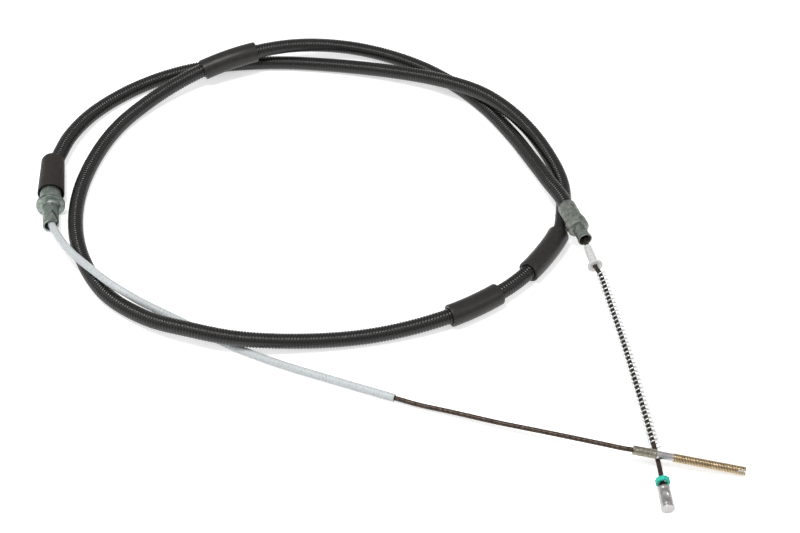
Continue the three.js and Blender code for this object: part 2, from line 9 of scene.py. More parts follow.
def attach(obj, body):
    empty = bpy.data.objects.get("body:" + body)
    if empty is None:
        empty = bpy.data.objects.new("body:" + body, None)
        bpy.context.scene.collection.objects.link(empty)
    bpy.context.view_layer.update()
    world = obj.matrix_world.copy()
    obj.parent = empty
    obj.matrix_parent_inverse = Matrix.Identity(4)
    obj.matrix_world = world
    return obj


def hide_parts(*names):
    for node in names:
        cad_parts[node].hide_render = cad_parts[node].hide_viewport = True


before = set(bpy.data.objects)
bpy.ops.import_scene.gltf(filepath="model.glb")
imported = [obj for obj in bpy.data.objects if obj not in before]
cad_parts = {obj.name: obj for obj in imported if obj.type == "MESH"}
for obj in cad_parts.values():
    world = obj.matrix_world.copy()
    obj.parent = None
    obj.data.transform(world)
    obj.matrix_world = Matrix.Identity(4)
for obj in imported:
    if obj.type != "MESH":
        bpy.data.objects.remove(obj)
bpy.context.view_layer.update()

LEVER, WHEEL, STILL = "lever_end", "wheel_end", "conduit_assembly"
SHARP_ANGLE = math.radians(38)
QUARTER_TURN = [i * math.pi / 16 for i in range(9)]

# Camera: 45 degrees down onto the table, at the photograph's distance
CAMERA_PLACE = (0.023, -0.928, 0.917)
CAMERA_PITCH = math.radians(45)
CAMERA_LENS = 82.35
SENSOR = 36

# Floor, sky and lamps: name, place, size and watts
FLOOR_COLOUR = (0.86, 0.86, 0.86, 1)
FLOOR_GLOW = 0.55
SKY_LEVEL = 0.5
LAMPS = [
    ("window", (-0.25, -0.25, 1.4), 0.3, 10.0),
    ("soft_left", (-1.4, -0.3, 1.2), 1.2, 5.0),
    ("soft_right", (1.3, -0.5, 1.4), 1.0, 4.0),
]

# Clearances
FIT_GAP = 0.0003
POCKET_PLAY = 0.00045

# Layers of the cable, from the inside out
CABLE_D = 0.00325
LINER_BORE, LINER_OD = 0.004, 0.0055
CONDUIT_OD = 0.011
RIB_PITCH = 0.00215
RIB_DEPTH = 0.00075
STATIONS_PER_RIB = 4
STRANDS = 7
STRAND_LAY = 0.026
STRAND_GROOVE = 0.00022
STRAND_STEP = 0.0009
STRAND_SIDES = 42
CORE_START, CORE_END, CORE_STATIONS = 0.0315, 0.0055, 700
SLEEVE_BORE, SLEEVE_OD = 0.0118, 0.0159
SLEEVE_STARTS = {
    "protective_sleeve_1": 1.245, "protective_sleeve_2": 0.6767, "protective_sleeve_3": 0.6019,
}
SLEEVE_LENGTHS = {
    "protective_sleeve_1": 0.044, "protective_sleeve_2": 0.04, "protective_sleeve_3": 0.044,
}

# Lever end ferrule and boot
LEVER_TIP = Vector((-0.2271, 0.0193, 0.0104))
LEVER_AXIS = Vector((0.14, -0.99, 0)).normalized()
NOSE_LENGTH, NOSE_OD, NOSE_BORE, NOSE_BORE_DEPTH = 0.021, 0.0116, 0.009, 0.0184
NOSE_FILLET = 0.002
NOSE_SLOT_WIDTH, NOSE_SLOT_LENGTH = 0.0018, 0.012
NOSE_SLOT_TURN, NOSE_SLOT_SLANT = math.radians(-35), math.radians(28)
MOUTH_SLANT = math.radians(8)
FLANGE_OD, FLANGE_THICKNESS = 0.0207, 0.0028
RIM_GROOVE, RIM_GROOVE_DEPTH = (0.001, 0.0018), 0.0007
COLLAR_OD, COLLAR_LENGTH, LEVER_POCKET = 0.0153, 0.016, 0.0095
LEVER_LENGTH = NOSE_LENGTH + FLANGE_THICKNESS + COLLAR_LENGTH
BOOT_START = 0.0346
BOOT_OFFSET = Vector((0.0003, 0, -0.0001))
BOOT_AXIS = Vector((-0.09, 0.996, 0)).normalized()
BOOT_LENGTH, BOOT_RIM_OD, BOOT_TOP_OD, BOOT_WALL = 0.0375, 0.0195, 0.0171, 0.00085
BOOT_TOP_WALL, BOOT_SHOULDER = 0.0035, 0.003
BOOT_HOLE = (0.028, 0.05)  # its stretch of the conduit, from the conduit's start

# Wheel end ferrule
WHEEL_MOUTH = Vector((0.1535, -0.0033, 0.0188))
WHEEL_AXIS = Vector((0.309, -0.951, 0)).normalized()
WHEEL_LENGTH, WHEEL_POCKET, MOUTH_BORE_DEPTH = 0.036, 0.0165, 0.018
MOUTH_OD, MOUTH_LIP, MOUTH_BORE = 0.0102, 0.0015, 0.0075
MOUTH_FLARE_BORE, MOUTH_FLARE_DEPTH = 0.009, 0.004
NECK_OD, NECK_LENGTH = 0.0093, 0.0118
SHOULDER_OD, SHOULDER_LENGTH, SHOULDER_CHAMFER = 0.0154, 0.0062, 0.0005
RIDGES, RIDGE_PITCH, RIDGE_DEPTH, RIDGE_FLANK = 3, 0.0012, 0.0004, 0.00025
LAST_RIDGE_OD = 0.0138
BODY_OD = 0.0131
CRIMP_PLACES, CRIMP_WIDTH, CRIMP_DEPTH, CRIMP_FLATS = (0.0042, 0.0105), 0.0022, 0.00028, 8
CRIMP_SKIN = 0.0063  # what lies further out than this is the body's outside

# Pieces on the cable's wheel end
BUSH_TIP, BUSH_END = Vector((0.1545, -0.0099, 0.0186)), Vector((0.1587, -0.0289, 0.0181))
BUSH_LENGTH, BUSH_TAPER, BUSH_FILLET = 0.0195, 0.008, 0.0006
BUSH_TIP_OD, BUSH_TUBE_OD, BUSH_BORE = 0.0049, 0.006, 0.0042
BUSH_FLANGE_OD, BUSH_FLANGE_THICKNESS = 0.0108, 0.0015
SPRING_SAG = Vector((0.0007, 0.0001, -0.00035))
SPRING_OD, SPRING_WIRE, SPRING_TURNS = 0.008, 0.001, 42
BELOW_SPRING = Vector((0.1877, -0.192, 0.0041))
RING_CENTRE = Vector((0.1887, -0.2076, 0.0048))
RING_OD, RING_BORE, RING_LENGTH = 0.0095, 0.0054, 0.0032
RING_FLUTES, RING_FLUTE_DEPTH = 12, 0.00045
RING_SKIN = 0.004  # what lies further out than this is the ring's outside
NIPPLE_FRONT = Vector((0.1888, -0.2125, 0.00435))
NIPPLE_AXIS = Vector((1.3, -17.8, 0)).normalized()
NIPPLE_LENGTH, NIPPLE_OD, NIPPLE_SOCKET = 0.0166, 0.0081, 0.0124
NIPPLE_WAIST, NIPPLE_WAIST_OD, WAIST_FLANK = (0.0016, 0.004), 0.0074, 0.0004
NIPPLE_NECK_LENGTH, NIPPLE_NECK_OD, NECK_FLANK = 0.0008, 0.0072, 0.0003
NIPPLE_DISC, NIPPLE_DISC_OD = 0.0014, 0.0086
DENT_PLACE, DENT_RADIUS, DENT_DEPTH = 0.0091, 0.007, 0.0009

# Threaded rod
ROD_START = Vector((0.1712, -0.1874, 0.0114))
ROD_AXIS = Vector((71.1, -10.7, -8.2)).normalized()
BARREL_LENGTH, BARREL_OD, BARREL_SOCKET = 0.0154, 0.0061, 0.0125
SHANK_LENGTH, SHANK_OD = 0.0104, 0.0052
SHANK_OVERLAP = 0.0004
THREAD_START = BARREL_LENGTH + SHANK_LENGTH
THREAD_LENGTH, THREAD_OD, THREAD_PITCH, THREAD_DEPTH = 0.0466, 0.006, 0.001, 0.00055
STATIONS_PER_TURN = 8
ROD_CHAMFER = 0.0006
ROD_SLOT_WIDTH, ROD_SLOT_DEPTH, ROD_SLOT_TURN = 0.0016, 0.005, math.radians(45)
SOCKET_BORE = 0.0038
MARK_PITCH, MARK_DEPTH, MARKS_ROUND, MARKS_MARGIN = 0.0016, 0.00016, 6, 0.001
BARREL_SKIN = 0.0029  # what lies further out than this is the barrel's outside

# The liner's straight free end
LINER_END = Vector((0.0194, -0.1363, 0.0028))
LINER_AXIS = Vector((0.9336, -0.3584, 0)).normalized()
LINER_STRAIGHT = 0.05
LINER_IN_NOSE = 0.0154
LEVER_CABLE_INSIDE, WHEEL_CABLE_INSIDE = 0.03, 0.012

# Routes, as chosen for the solids
CONDUIT_ROUTE = [
    (-0.2342, 0.072, 0.0104), (-0.2337, 0.084, 0.0101), (-0.2315, 0.0967, 0.0094),
    (-0.2258, 0.1207, 0.0085), (-0.21, 0.1524, 0.0062), (-0.1788, 0.183, 0.0055),
    (-0.14, 0.203, 0.0055), (-0.09, 0.2115, 0.0055), (-0.035, 0.209, 0.0057),
    (0.03, 0.1925, 0.0098), (0.067, 0.1735, 0.015), (0.09, 0.156, 0.0175), (0.111, 0.1345, 0.0155),
    (0.128, 0.111, 0.0098), (0.142, 0.072, 0.0057), (0.141, 0.036, 0.0058), (0.136, 0.0123, 0.0085),
    (0.1131, -0.0243, 0.0082), (0.0903, -0.0463, 0.0082), (0.0566, -0.0674, 0.0083),
    (0.01, -0.082, 0.006), (-0.035, -0.089, 0.007), (-0.085, -0.0911, 0.0114),
    (-0.12, -0.0825, 0.0114), (-0.152, -0.0673, 0.0072), (-0.1835, -0.0407, 0.0055),
    (-0.207, 0.007, 0.0055), (-0.212, 0.062, 0.0055), (-0.196, 0.125, 0.0055),
    (-0.172, 0.16, 0.0075), (-0.138, 0.1878, 0.013), (-0.099, 0.2046, 0.0193),
    (-0.059, 0.219, 0.0172), (-0.017, 0.226, 0.0095), (0.024, 0.215, 0.0058),
    (0.0596, 0.19, 0.0055), (0.088, 0.158, 0.0055), (0.108, 0.1225, 0.0072), (0.1215, 0.088, 0.012),
    (0.1315, 0.06, 0.0165), (0.1395, 0.0405, 0.0188),
]
LINER_ROUTE = [
    (-0.0582, -0.106, 0.0028), (-0.0915, -0.0897, 0.0028), (-0.1099, -0.0781, 0.0028),
    (-0.128, -0.0663, 0.0028), (-0.1439, -0.0576, 0.0043), (-0.1556, -0.0534, 0.0082),
    (-0.1662, -0.0489, 0.0122), (-0.1768, -0.0428, 0.015), (-0.1886, -0.0316, 0.0148),
    (-0.1978, -0.0224, 0.0146), (-0.2062, -0.0131, 0.0139), (-0.2143, -0.0019, 0.0126),
    (-0.2221, 0.0118, 0.011), (-0.2266, 0.021, 0.0104),
]
LEVER_CABLE_ROUTE = [
    (0.0361, -0.1426, 0.0029), (0.0557, -0.1488, 0.0036), (0.0879, -0.16, 0.0054),
    (0.1197, -0.1703, 0.0076), (0.1509, -0.1808, 0.0099), (0.1645, -0.1858, 0.0113),
]
SPRING_ROUTE = [
    (0.1616, -0.0363, 0.0177), (0.1672, -0.0647, 0.0151), (0.1739, -0.1003, 0.0118),
    (0.1808, -0.1432, 0.0079), (0.18605, -0.179, 0.00465),
]


# Camera

def make_camera():
    data = bpy.data.cameras.new("camera")
    data.lens = CAMERA_LENS
    data.sensor_width = SENSOR
    camera = bpy.data.objects.new("camera", data)
    camera.location = CAMERA_PLACE
    camera.rotation_euler = (CAMERA_PITCH, 0, 0)
    bpy.context.scene.collection.objects.link(camera)
    bpy.context.scene.camera = camera


# Lines that the pieces follow

def smooth_points(points, per_span=16, floor=0.0):
    """Centripetal Catmull-Rom points through given ones, none lower than floor."""
    p = [np.array(q, float) for q in points]
    out = []
    for i in range(len(p) - 1):
        b, c = p[i], p[i + 1]
        a = p[i - 1] if i > 0 else 2 * b - c
        d = p[i + 2] if i + 2 < len(p) else 2 * c - b
        t0, t1, t2 = (np.linalg.norm(v - u) ** 0.5 for u, v in ((a, b), (b, c), (c, d)))
        start = ((b - a) / t0 - (c - a) / (t0 + t1) + (c - b) / t1) * t1
        end = ((c - b) / t1 - (d - b) / (t1 + t2) + (d - c) / t2) * t1
        for k in range(per_span):
            t = k / per_span
            out.append(
                b + start * t
                + (-3 * b + 3 * c - 2 * start - end) * t**2
                + (2 * b - 2 * c + start + end) * t**3
            )
    out.append(p[-1])
    return [(x, y, max(z, floor)) for x, y, z in out]


class Line:
    """A path with distances along it and a frame that doesn't twist."""

    def __init__(self, points):
        self.p = np.array([tuple(q) for q in points], float)
        steps = np.diff(self.p, axis=0)
        lengths = np.linalg.norm(steps, axis=1)
        self.s = np.concatenate([[0], np.cumsum(lengths)])
        units = steps / lengths[:, None]
        self.t = np.vstack([units[:1], units[:-1] + units[1:], units[-1:]])
        self.t /= np.linalg.norm(self.t, axis=1)[:, None]
        side = np.cross(self.t[0], (0, 0, 1)) if abs(self.t[0][2]) < 0.9 else np.array((1.0, 0, 0))
        sides = []
        for tangent in self.t:
            side = side - tangent * (side @ tangent)
            side = side / np.linalg.norm(side)
            sides.append(side)
        self.u = np.array(sides)

    @property
    def length(self):
        return float(self.s[-1])

    def at(self, s):
        """Centre, side, up and heading at a distance; straight on past both ends."""
        inside = min(max(s, 0), self.length)
        rows = (self.p, self.t, self.u)
        p, t, u = (np.array([np.interp(inside, self.s, a[:, k]) for k in range(3)]) for a in rows)
        t /= np.linalg.norm(t)
        u -= t * (u @ t)
        u /= np.linalg.norm(u)
        return p + t * (s - inside), u, np.cross(t, u), t

    def points(self, start, end, count):
        return [tuple(self.at(start + (end - start) * i / count)[0]) for i in range(count + 1)]


def straight(origin, axis, length):
    return Line([origin, Vector(origin) + axis * length])


def back(origin, axis, distance):
    return tuple(Vector(origin) - axis * distance)


CONDUIT_START = LEVER_LENGTH - LEVER_POCKET + FIT_GAP
CONDUIT_FINISH = WHEEL_LENGTH - WHEEL_POCKET + FIT_GAP
conduit_line = Line(smooth_points(
    [back(LEVER_TIP, LEVER_AXIS, CONDUIT_START), back(LEVER_TIP, LEVER_AXIS, LEVER_LENGTH)]
    + CONDUIT_ROUTE
    + [back(WHEEL_MOUTH, WHEEL_AXIS, WHEEL_LENGTH), back(WHEEL_MOUTH, WHEEL_AXIS, CONDUIT_FINISH)],
    floor=CONDUIT_OD / 2,
))
bare_liner = smooth_points(
    [back(LINER_END, LINER_AXIS, LINER_STRAIGHT)] + LINER_ROUTE + [back(LEVER_TIP, LEVER_AXIS, LINER_IN_NOSE)],
    floor=LINER_OD / 2,
)
liner_line = Line(
    [tuple(LINER_END)] + bare_liner + [tuple(q) for q in conduit_line.p]
    + [back(WHEEL_MOUTH, WHEEL_AXIS, MOUTH_BORE_DEPTH)]
)
lever_cable_line = Line(smooth_points(
    [back(LINER_END, LINER_AXIS, LEVER_CABLE_INSIDE), back(LINER_END, LINER_AXIS, 0), *LEVER_CABLE_ROUTE,
     tuple(ROD_START), back(ROD_START, ROD_AXIS, FIT_GAP - BARREL_SOCKET)],
))
wheel_cable_line = Line(smooth_points(
    [back(WHEEL_MOUTH, WHEEL_AXIS, WHEEL_CABLE_INSIDE), tuple(WHEEL_MOUTH), tuple(BUSH_TIP), tuple(BUSH_END),
     *SPRING_ROUTE, tuple(BELOW_SPRING), tuple(NIPPLE_FRONT),
     back(NIPPLE_FRONT, NIPPLE_AXIS, FIT_GAP - NIPPLE_SOCKET)],
))


# Materials: each has a principled shader whose colour and roughness come from noise, most with a noise bump as
# well; the sheath, thread and strand colours also carry painted shade in their grooves

class Finish:
    """One procedural material under construction, on the object's own coordinates."""

    def __init__(self, name, roughness, metallic=0.0, **sockets):
        self.material = bpy.data.materials.new(name)
        self.material.use_nodes = True
        self.tree = self.material.node_tree
        self.shader = self.tree.nodes["Principled BSDF"]
        self.place = self.tree.nodes.new("ShaderNodeTexCoord").outputs["Object"]
        self.shader.inputs["Roughness"].default_value = roughness
        self.shader.inputs["Metallic"].default_value = metallic
        for socket, value in sockets.items():
            self.shader.inputs[socket.replace("_", " ")].default_value = value

    def node(self, kind, **inputs):
        made = self.tree.nodes.new(kind)
        for socket, value in inputs.items():
            self.feed(made.inputs[socket], value)
        return made

    def feed(self, socket, value):
        if isinstance(value, bpy.types.NodeSocket):
            self.tree.links.new(value, socket)
        else:
            socket.default_value = value

    def noise(self, scale, detail=3.0):
        return self.node("ShaderNodeTexNoise", Vector=self.place, Scale=scale, Detail=detail).outputs[0]

    def attribute(self, name):
        made = self.tree.nodes.new("ShaderNodeAttribute")
        made.attribute_name = name
        return made.outputs["Fac"]

    def ramp(self, factor, *stops):
        made = self.node("ShaderNodeValToRGB", Fac=factor)
        band = made.color_ramp
        while len(band.elements) < len(stops):
            band.elements.new(0.5)
        for element, (place, value) in zip(band.elements, stops):
            element.position = place
            element.color = (*value, 1) if isinstance(value, tuple) else (value, value, value, 1)
        return made.outputs[0]

    def multiply(self, a, b):
        made = self.node("ShaderNodeMix")
        made.data_type = "RGBA"
        made.blend_type = "MULTIPLY"
        made.inputs[0].default_value = 1
        self.feed(made.inputs[6], a)
        self.feed(made.inputs[7], b)
        return made.outputs[2]

    def colour(self, value):
        self.feed(self.shader.inputs["Base Color"], value)

    def roughness(self, value):
        self.feed(self.shader.inputs["Roughness"], value)

    def bump(self, height, strength, distance):
        made = self.node("ShaderNodeBump", Height=height, Strength=strength, Distance=distance)
        self.feed(self.shader.inputs["Normal"], made.outputs[0])


def ribbed_sheath_finish():
    f = Finish("ribbed_sheath", 0.28, Specular_IOR_Level=0.45)
    # Painted shade: the grooves between the ribs are coloured darker than the rib crowns, by the swept height
    crown = f.ramp(f.attribute("height"), (0.15, (0.002, 0.0018, 0.0016)), (0.95, (0.012, 0.0105, 0.0095)))
    f.colour(f.multiply(crown, f.ramp(f.noise(160), (0.3, 0.75), (0.7, 1.15))))
    f.roughness(f.ramp(f.noise(900, 4), (0.3, 0.22), (0.75, 0.36)))
    f.bump(f.noise(2600), 0.12, 0.0001)
    return f.material


def sleeve_rubber_finish():
    f = Finish("sleeve_rubber", 0.38, Specular_IOR_Level=0.4)
    f.colour(f.ramp(f.noise(260, 4), (0.3, (0.014, 0.0125, 0.0115)), (0.75, (0.024, 0.0215, 0.02))))
    f.roughness(f.ramp(f.noise(1200, 4), (0.3, 0.32), (0.7, 0.46)))
    f.bump(f.noise(3200, 5), 0.2, 0.0001)
    return f.material


def boot_rubber_finish():
    f = Finish("boot_rubber", 0.58, Specular_IOR_Level=0.3)
    f.colour(f.ramp(f.noise(240, 4), (0.3, (0.018, 0.015, 0.013)), (0.75, (0.03, 0.0255, 0.022))))
    f.roughness(f.ramp(f.noise(900, 4), (0.3, 0.5), (0.7, 0.7)))
    f.bump(f.noise(2400, 5), 0.3, 0.00012)
    return f.material


def zinc_finish():
    f = Finish("bluish_zinc", 0.5, 1.0)
    f.colour(f.ramp(
        f.noise(420, 5), (0.3, (0.19, 0.22, 0.2)), (0.55, (0.32, 0.36, 0.33)), (0.8, (0.46, 0.49, 0.45)),
    ))
    f.roughness(f.ramp(f.noise(1500, 5), (0.3, 0.42), (0.75, 0.62)))
    f.bump(f.noise(1800, 4), 0.15, 0.0001)
    return f.material


def nipple_finish():
    f = Finish("nipple_zinc", 0.36, 1.0)
    f.colour(f.ramp(f.noise(260, 3), (0.3, (0.4, 0.39, 0.39)), (0.75, (0.54, 0.52, 0.52))))
    f.roughness(f.ramp(f.noise(1500, 4), (0.3, 0.3), (0.75, 0.42)))
    f.bump(f.noise(1800, 3), 0.06, 0.0001)
    return f.material


def shank_finish():
    f = Finish("bright_shank", 0.26, 1.0)
    f.colour(f.ramp(f.noise(400, 4), (0.3, (0.5, 0.47, 0.48)), (0.75, (0.72, 0.69, 0.7))))
    f.roughness(f.ramp(f.noise(1500, 4), (0.3, 0.2), (0.75, 0.34)))
    return f.material


def dull_zinc_finish():
    f = Finish("dull_zinc", 0.6, 1.0)
    f.colour(f.ramp(
        f.noise(380, 5), (0.3, (0.15, 0.17, 0.15)), (0.55, (0.28, 0.3, 0.27)), (0.8, (0.4, 0.42, 0.38)),
    ))
    f.roughness(f.ramp(f.noise(1400, 5), (0.3, 0.5), (0.75, 0.7)))
    f.bump(f.noise(1500, 5), 0.3, 0.00015)
    return f.material


def golden_zinc_finish():
    f = Finish("golden_zinc", 0.36, 1.0)
    tone = f.ramp(f.noise(300, 4), (0.3, (0.55, 0.43, 0.27)), (0.75, (0.78, 0.64, 0.44)))
    # Painted shade: the thread darkens towards its roots, by the swept height
    f.colour(f.multiply(tone, f.ramp(f.attribute("height"), (0.05, 0.22), (0.8, 1.0))))
    f.roughness(f.ramp(f.noise(1500, 4), (0.3, 0.22), (0.75, 0.36)))
    return f.material


def barrel_finish():
    f = Finish("olive_barrel", 0.42, 1.0)
    f.colour(f.ramp(
        f.noise(520, 5), (0.3, (0.17, 0.16, 0.12)), (0.55, (0.33, 0.31, 0.25)), (0.8, (0.5, 0.48, 0.42)),
    ))
    f.roughness(f.ramp(f.noise(1500, 4), (0.3, 0.32), (0.75, 0.52)))
    f.bump(f.noise(1500, 4), 0.25, 0.00015)
    return f.material


def strand_finish():
    f = Finish("oiled_strands", 0.42, 0.85)
    tone = f.ramp(f.noise(500, 4), (0.3, (0.04, 0.03, 0.024)), (0.75, (0.12, 0.09, 0.072)))
    # Painted shade: the cable darkens in the grooves between its strands, by the swept height
    f.colour(f.multiply(tone, f.ramp(f.attribute("height"), (0.05, 0.25), (0.7, 1.0))))
    f.roughness(f.ramp(f.noise(1800, 4), (0.3, 0.34), (0.75, 0.55)))
    return f.material


def spring_finish():
    f = Finish("spring_zinc", 0.26, 1.0)
    f.colour(f.ramp(f.noise(700, 4), (0.3, (0.66, 0.68, 0.68)), (0.75, (0.9, 0.92, 0.92))))
    f.roughness(f.ramp(f.noise(2200, 4), (0.3, 0.2), (0.75, 0.38)))
    return f.material


def milky_finish(name, clear, tint):
    f = Finish(name, 0.3, Transmission_Weight=clear, IOR=1.38)
    low = tuple(c * 0.93 for c in tint)
    f.colour(f.ramp(f.noise(180, 3), (0.3, low), (0.75, tint)))
    f.roughness(f.ramp(f.noise(900, 4), (0.3, 0.24), (0.75, 0.4)))
    f.bump(f.noise(1400, 3), 0.06, 0.0001)
    return f.material


def green_finish():
    f = Finish("turquoise_plastic", 0.42, Specular_IOR_Level=0.5)
    f.colour(f.ramp(f.noise(420, 4), (0.3, (0.015, 0.46, 0.34)), (0.75, (0.035, 0.68, 0.52))))
    f.roughness(f.ramp(f.noise(1500, 4), (0.3, 0.34), (0.75, 0.5)))
    f.bump(f.noise(2200, 4), 0.12, 0.0001)
    return f.material


# Pieces that follow a path with ribs, strands or a thread: one node tree with named inputs

SWEEP_INPUTS = [
    ("Geometry", "NodeSocketGeometry"), ("Samples", "NodeSocketInt"), ("Radius", "NodeSocketFloat"),
    ("Sides", "NodeSocketInt"), ("Groove Pitch", "NodeSocketFloat"), ("Groove Starts", "NodeSocketFloat"),
    ("Groove Depth", "NodeSocketFloat"), ("Groove Narrowness", "NodeSocketFloat"),
    ("Material", "NodeSocketMaterial"),
]


def grooved_sweep_tree():
    """A round section swept along a curve, with grooves across it or winding round it."""
    tree = bpy.data.node_groups.new("grooved_sweep", "GeometryNodeTree")
    for name, kind in SWEEP_INPUTS:
        tree.interface.new_socket(name, in_out="INPUT", socket_type=kind)
    tree.interface.new_socket("Geometry", in_out="OUTPUT", socket_type="NodeSocketGeometry")
    given = tree.nodes.new("NodeGroupInput").outputs

    def node(kind, inputs=(), **settings):
        made = tree.nodes.new(kind)
        for setting, value in settings.items():
            setattr(made, setting, value)
        for socket, value in dict(inputs).items():
            if isinstance(value, bpy.types.NodeSocket):
                tree.links.new(value, made.inputs[socket])
            else:
                made.inputs[socket].default_value = value
        return made

    def math_node(operation, a, b=0.0):
        return node("ShaderNodeMath", {0: a, 1: b}, operation=operation).outputs[0]

    def captured(geometry, value):
        made = tree.nodes.new("GeometryNodeCaptureAttribute")
        made.capture_items.new("FLOAT", "value")
        tree.links.new(geometry, made.inputs[0])
        tree.links.new(value, made.inputs[1])
        return made.outputs[0], made.outputs[1]

    stations = node("GeometryNodeResampleCurve", {"Curve": given["Geometry"], "Count": given["Samples"]})
    spline = node("GeometryNodeSplineParameter")
    path, along = captured(stations.outputs[0], spline.outputs["Length"])
    circle = node(
        "GeometryNodeCurvePrimitiveCircle", {"Radius": given["Radius"], "Resolution": given["Sides"]},
    )
    section, around = captured(circle.outputs[0], spline.outputs["Factor"])
    swept = node("GeometryNodeCurveToMesh", {"Curve": path, "Profile Curve": section, "Fill Caps": True})
    turns = math_node("DIVIDE", along, given["Groove Pitch"])
    phase = math_node("SUBTRACT", turns, math_node("MULTIPLY", around, given["Groove Starts"]))
    wave = math_node("ABSOLUTE", math_node("SINE", math_node("MULTIPLY", phase, math.pi)))
    height = math_node("POWER", wave, given["Groove Narrowness"])
    drop = math_node("MULTIPLY", math_node("SUBTRACT", height, 1.0), given["Groove Depth"])
    normal = node("GeometryNodeInputNormal").outputs[0]
    offset = node("ShaderNodeVectorMath", {0: normal, "Scale": drop}, operation="SCALE").outputs[0]
    # The stored height lets the sheath, thread and strand materials paint shade into their grooves
    named = node(
        "GeometryNodeStoreNamedAttribute",
        {"Geometry": swept.outputs[0], "Name": "height", "Value": height},
        data_type="FLOAT", domain="POINT",
    )
    grooved = node("GeometryNodeSetPosition", {"Geometry": named.outputs[0], "Offset": offset})
    smooth = node("GeometryNodeSetShadeSmooth", {"Geometry": grooved.outputs[0]})
    real = node("GeometryNodeRealizeInstances", {"Geometry": smooth.outputs[0]})
    dressed = node("GeometryNodeSetMaterial", {"Geometry": real.outputs[0], "Material": given["Material"]})
    tree.links.new(dressed.outputs[0], tree.nodes.new("NodeGroupOutput").inputs[0])
    return tree


def add_object(name, data):
    made = bpy.data.objects.new(name, data)
    bpy.context.scene.collection.objects.link(made)
    return made


def baked(source, name):
    """The evaluated object as a plain mesh object, with the source removed."""
    graph = bpy.context.evaluated_depsgraph_get()
    mesh = bpy.data.meshes.new_from_object(source.evaluated_get(graph), depsgraph=graph)
    bpy.data.objects.remove(source)
    mesh.name = name
    return add_object(name, mesh)


def grooved(name, points, material, radius, sides, samples, pitch=1.0, starts=0.0, depth=0.0, narrowness=1.0):
    curve = bpy.data.curves.new(name + "_line", "CURVE")
    curve.dimensions = "3D"
    spline = curve.splines.new("POLY")
    spline.points.add(len(points) - 1)
    for station, (x, y, z) in zip(spline.points, points):
        station.co = (x, y, z, 1)
    source = add_object(name + "_source", curve)
    modifier = source.modifiers.new("sweep", "NODES")
    modifier.node_group = sweep_tree
    values = {
        "Samples": samples, "Radius": radius, "Sides": sides, "Groove Pitch": pitch, "Groove Starts": starts,
        "Groove Depth": depth, "Groove Narrowness": narrowness, "Material": material,
    }
    for item in sweep_tree.interface.items_tree:
        if item.in_out == "INPUT" and item.name in values:
            modifier[item.identifier] = values[item.name]
    return baked(source, name)


# Pieces that are turned round a line, straight or bent

def rounded(outline, radius):
    """The outline with each corner replaced by a small arc, where its sides leave room."""
    p = [np.array(q, float) for q in outline]
    out = []
    for i, corner in enumerate(p):
        before, after = p[i - 1] - corner, p[(i + 1) % len(p)] - corner
        lengths = np.linalg.norm(before), np.linalg.norm(after)
        if corner[1] <= 0 or min(lengths) < 1e-7:
            out.append(corner)
            continue
        reach = min(radius, 0.4 * min(lengths))
        a = corner + before / lengths[0] * reach
        b = corner + after / lengths[1] * reach
        out += [a, 0.25 * a + 0.5 * corner + 0.25 * b, b]
    return out


def turned(name, line, outline, material, sides=64, round_by=0.00025, spacing=None, shape=None):
    """A closed solid from an outline of (distance along the line, radius) points."""
    ring_points = rounded(outline, round_by)
    if spacing:
        dense = []
        for a, b in zip(ring_points, ring_points[1:] + ring_points[:1]):
            parts = max(1, math.ceil(abs(b[0] - a[0]) / spacing))
            dense += [a + (b - a) * k / parts for k in range(parts)]
        ring_points = dense
    mesh = bmesh.new()
    rings = []
    for s, r in ring_points:
        centre, side, up, _ = line.at(s)
        ring = []
        for k in range(sides):
            angle = 2 * math.pi * k / sides
            radius = shape(s, r, angle) if shape else r
            ring.append(mesh.verts.new(centre + radius * (math.cos(angle) * side + math.sin(angle) * up)))
        rings.append(ring)
    for ring, following in zip(rings, rings[1:] + rings[:1]):
        for k in range(sides):
            n = (k + 1) % sides
            mesh.faces.new((ring[k], ring[n], following[n], following[k]))
    bmesh.ops.remove_doubles(mesh, verts=mesh.verts, dist=1e-7)
    bmesh.ops.recalc_face_normals(mesh, faces=mesh.faces)
    data = bpy.data.meshes.new(name)
    mesh.to_mesh(data)
    mesh.free()
    finish_mesh(data, material)
    return add_object(name, data)


def finish_mesh(data, material):
    data.materials.clear()
    data.materials.append(material)
    data.polygons.foreach_set("use_smooth", [True] * len(data.polygons))
    data.set_sharp_from_angle(angle=SHARP_ANGLE)


def carved(piece, *cutters):
    """The piece with the cutters taken out of it, as a plain mesh."""
    name, material = piece.name, piece.data.materials[0]
    for cutter in cutters:
        modifier = piece.modifiers.new("cut", "BOOLEAN")
        modifier.operation = "DIFFERENCE"
        modifier.solver = "MANIFOLD"
        modifier.object = cutter
    piece.name = name + "_whole"
    result = baked(piece, name)
    for cutter in cutters:
        bpy.data.objects.remove(cutter)
    finish_mesh(result.data, material)
    return result


def block(origin, axis, size, turns, offset):
    """A cutting block, made at the start of a piece whose local +Z is the axis."""
    mesh = bmesh.new()
    bmesh.ops.create_cube(mesh, size=1)
    local = Matrix.Translation(offset) @ turns @ Matrix.Diagonal((*size, 1))
    world = Matrix.Translation(origin) @ Vector((0, 0, 1)).rotation_difference(axis).to_matrix().to_4x4()
    mesh.transform(world @ local)
    data = bpy.data.meshes.new("cutter")
    mesh.to_mesh(data)
    mesh.free()
    return add_object("cutter", data)


def placed(piece, body, slot, *nodes):
    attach(piece, body)
    if nodes:
        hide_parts(*nodes)
    return piece


# Cords: conduit, liner and the cable's stretches

def tube_wall(start, end, bore, outer):
    """The outline of a plain tube's wall."""
    return [(start, bore / 2), (start, outer / 2), (end, outer / 2), (end, bore / 2)]


def strand(name, line):
    count = round(line.length / STRAND_STEP)
    return grooved(
        name, line.points(0, line.length, count), MATERIAL["strand"], CABLE_D / 2, STRAND_SIDES, count + 1,
        pitch=STRAND_LAY / STRANDS, starts=STRANDS, depth=STRAND_GROOVE, narrowness=0.7,
    )


